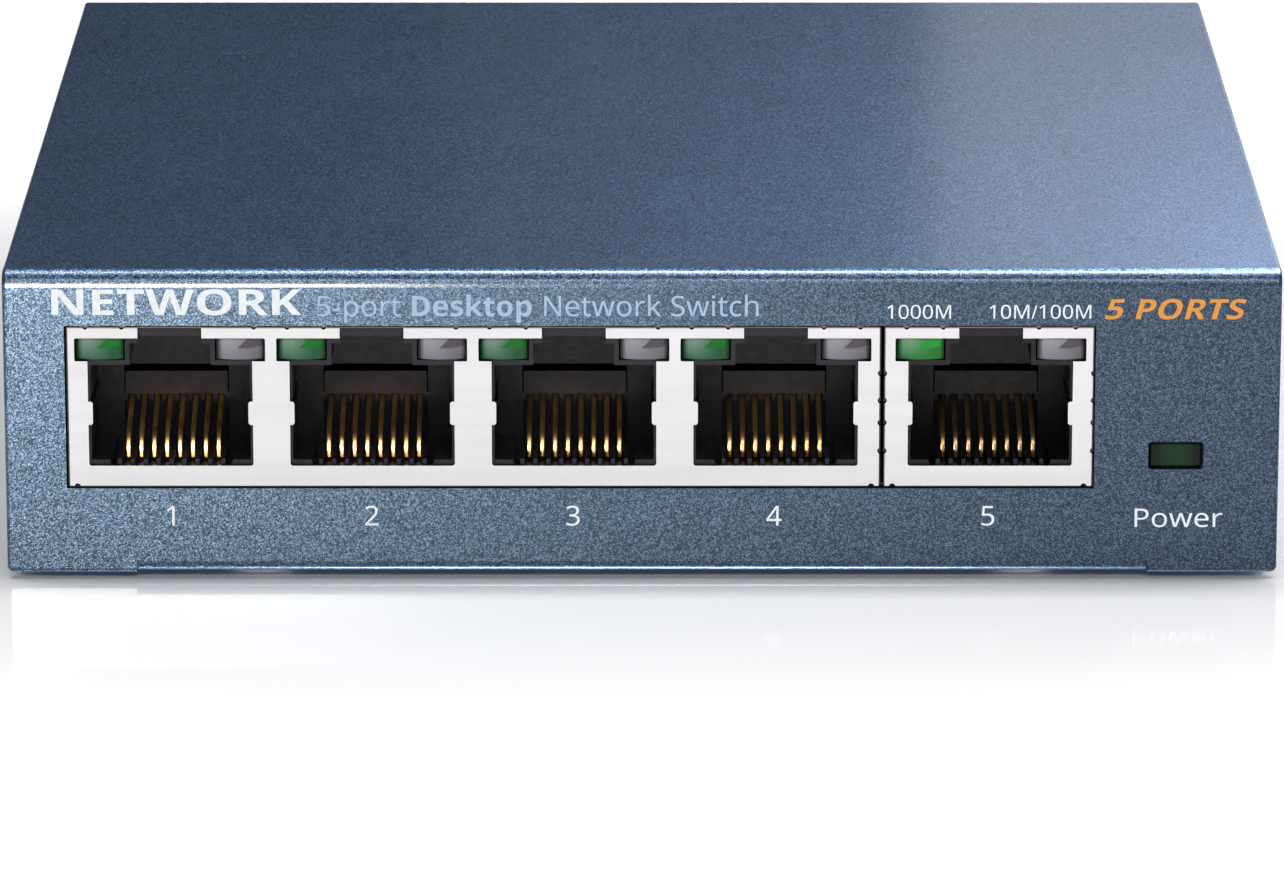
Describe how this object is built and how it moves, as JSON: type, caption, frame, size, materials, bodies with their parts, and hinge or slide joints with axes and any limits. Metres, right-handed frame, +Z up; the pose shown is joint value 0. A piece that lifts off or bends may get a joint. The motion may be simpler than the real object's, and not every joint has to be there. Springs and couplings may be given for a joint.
{
  "type": "desktop network switch",
  "caption": "Flat folded-metal desktop network switch with a row of shielded modular jacks, lamp windows and a rear power inlet.",
  "frame": {"origin": "centre of the footprint, on the plane under the feet", "axes": "+X along the front towards the power lamp's end, -Y out of the ports, +Z up"},
  "size_m": [0.1, 0.098, 0.025],
  "materials": {
    "cover_paint": "satin metallic blue-grey enamel with fine flake",
    "tray_paint": "satin metallic blue-grey enamel",
    "screw_steel": "zinc plated",
    "foot_rubber": "matt black",
    "board_laminate": "green solder mask",
    "jack_plastic": "moulded black thermoplastic",
    "tinned_shield": "bright tin plate",
    "gold_contact": "gold flash over phosphor bronze",
    "tinned_leg": "tinned copper",
    "green_lens": "translucent green lens",
    "clear_lens": "translucent water-clear lens",
    "power_lens": "translucent dark green lens",
    "inlet_plastic": "moulded black thermoplastic",
    "inlet_metal": "nickel plate",
    "chip_plastic": "moulded epoxy",
    "pad_silicone": "soft grey silicone",
    "sink_aluminium": "plain extruded",
    "can_metal": "plain can",
    "coil_ferrite": "sintered ferrite",
    "ceramic_chip": "fired ceramic",
    "resistor_chip": "fired ceramic, glazed",
    "label_foil": "blank foil label"
  },
  "bodies": {
    "case": {"base_tray": "tray_paint", "board_screws": "screw_steel", "ceramic_capacitors": "ceramic_chip", "cover_screws": "screw_steel", "crystal": "can_metal", "dc_jack_body": "inlet_plastic", "dc_jack_centre_pin": "inlet_metal", "dc_jack_terminals": "tinned_leg", "electrolytic_capacitors": "can_metal", "heatsink": "sink_aluminium", "inductors": "coil_ferrite", "led_leads": "tinned_leg", "magnetics_1": "chip_plastic", "magnetics_2": "chip_plastic", "magnetics_3": "chip_plastic", "magnetics_4": "chip_plastic", "magnetics_5": "chip_plastic", "main_board": "board_laminate", "memory_chip": "chip_plastic", "port_1_link_led": "green_lens", "port_1_speed_led": "clear_lens", "port_1_tails": "gold_contact", "port_2_link_led": "green_lens", "port_2_speed_led": "clear_lens", "port_2_tails": "gold_contact", "port_3_link_led": "green_lens", "port_3_speed_led": "clear_lens", "port_3_tails": "gold_contact", "port_4_link_led": "green_lens", "port_4_speed_led": "clear_lens", "port_4_tails": "gold_contact", "port_5_link_led": "green_lens", "port_5_speed_led": "clear_lens", "port_5_tails": "gold_contact", "power_led": "power_lens", "power_led_holder": "jack_plastic", "quad_jack_housing": "jack_plastic", "quad_jack_shield": "tinned_shield", "rating_label": "label_foil", "regulator_chip": "chip_plastic", "resistors": "resistor_chip", "rubber_foot_front_left": "foot_rubber", "rubber_foot_front_right": "foot_rubber", "rubber_foot_rear_left": "foot_rubber", "rubber_foot_rear_right": "foot_rubber", "single_jack_housing": "jack_plastic", "single_jack_shield": "tinned_shield", "switch_chip": "chip_plastic", "thermal_pad": "pad_silicone", "top_cover": "cover_paint"},
    "contacts_1": {"port_1_contacts": "gold_contact"},
    "contacts_2": {"port_2_contacts": "gold_contact"},
    "contacts_3": {"port_3_contacts": "gold_contact"},
    "contacts_4": {"port_4_contacts": "gold_contact"},
    "contacts_5": {"port_5_contacts": "gold_contact"},
    "inlet_spring": {"dc_jack_spring": "inlet_metal"}
  },
  "joints": [
    {"name": "port_1_contact_flex", "type": "hinge", "parent": "case", "child": "contacts_1", "pos_m": [-0.03696, -0.0455, 0.0093], "axis": [-1, 0, 0], "range_deg": [0, 12], "stiffness_Nm_per_rad": 0.16},
    {"name": "port_2_contact_flex", "type": "hinge", "parent": "case", "child": "contacts_2", "pos_m": [-0.02115, -0.0455, 0.0093], "axis": [-1, 0, 0], "range_deg": [0, 12], "stiffness_Nm_per_rad": 0.16},
    {"name": "port_3_contact_flex", "type": "hinge", "parent": "case", "child": "contacts_3", "pos_m": [-0.00533, -0.0455, 0.0093], "axis": [-1, 0, 0], "range_deg": [0, 12], "stiffness_Nm_per_rad": 0.16},
    {"name": "port_4_contact_flex", "type": "hinge", "parent": "case", "child": "contacts_4", "pos_m": [0.01048, -0.0455, 0.0093], "axis": [-1, 0, 0], "range_deg": [0, 12], "stiffness_Nm_per_rad": 0.16},
    {"name": "port_5_contact_flex", "type": "hinge", "parent": "case", "child": "contacts_5", "pos_m": [0.0273, -0.0455, 0.0093], "axis": [-1, 0, 0], "range_deg": [0, 12], "stiffness_Nm_per_rad": 0.16},
    {"name": "inlet_spring_flex", "type": "hinge", "parent": "case", "child": "inlet_spring", "pos_m": [0.03, 0.039, 0.0097], "axis": [-1, 0, 0], "range_deg": [0, 4], "stiffness_Nm_per_rad": 0.24}
  ]
}
